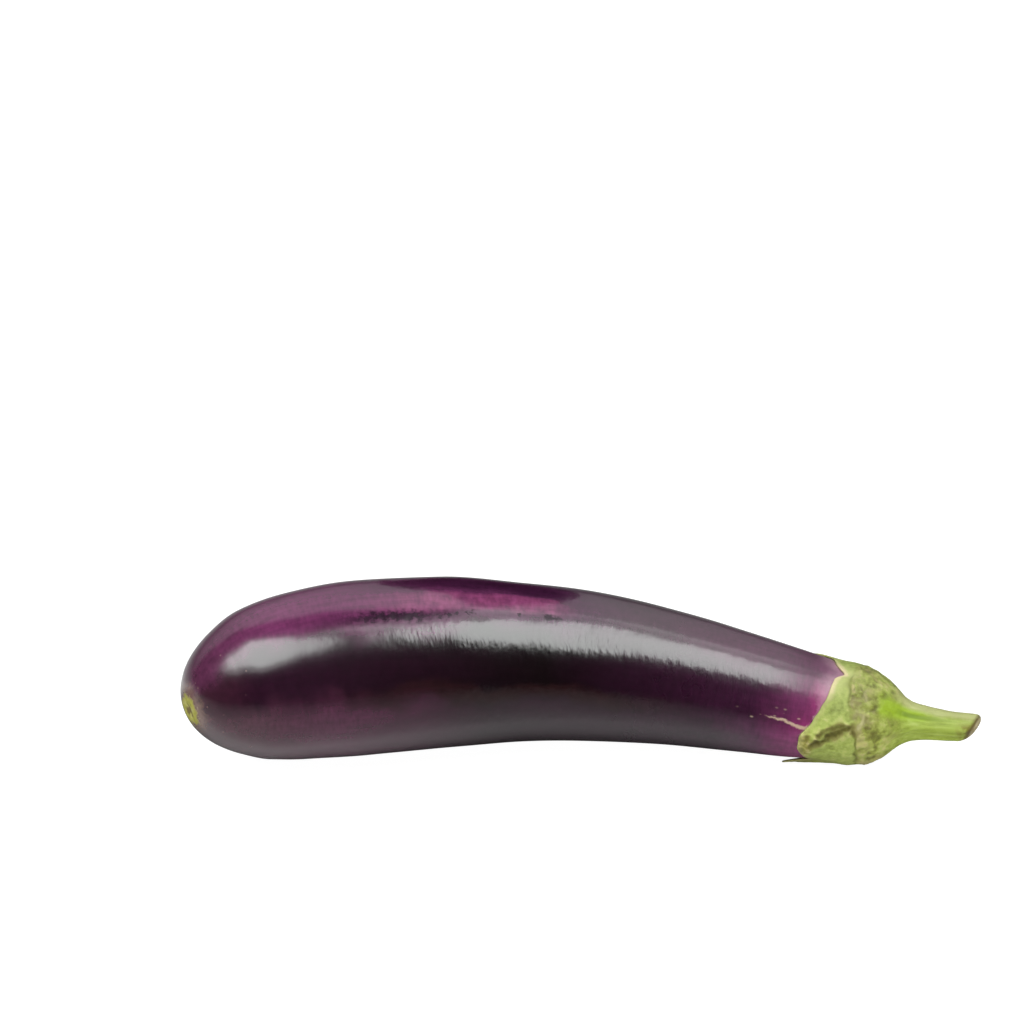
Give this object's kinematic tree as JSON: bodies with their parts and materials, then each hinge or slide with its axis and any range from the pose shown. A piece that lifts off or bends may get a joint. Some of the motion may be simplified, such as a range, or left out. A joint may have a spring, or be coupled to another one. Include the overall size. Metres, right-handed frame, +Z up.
{
  "type": "thai eggplant",
  "caption": "Long purple eggplant with a bent, tapering body, a lobed green calyx and a short cut stalk, lying on its side.",
  "frame": {"origin": "on the surface that the eggplant lies on, under the middle of its bounding box", "axes": "+X runs from the blossom end towards the stalk, +Z is up, and -Y is the side that both ends bend towards"},
  "size_m": [0.2215, 0.0543, 0.0483],
  "materials": {
    "purple_skin": "gloss",
    "green_calyx": "matte"
  },
  "bodies": {
    "root": {"fruit": "purple_skin", "calyx_and_stalk": "green_calyx"}
  },
  "joints": []
}
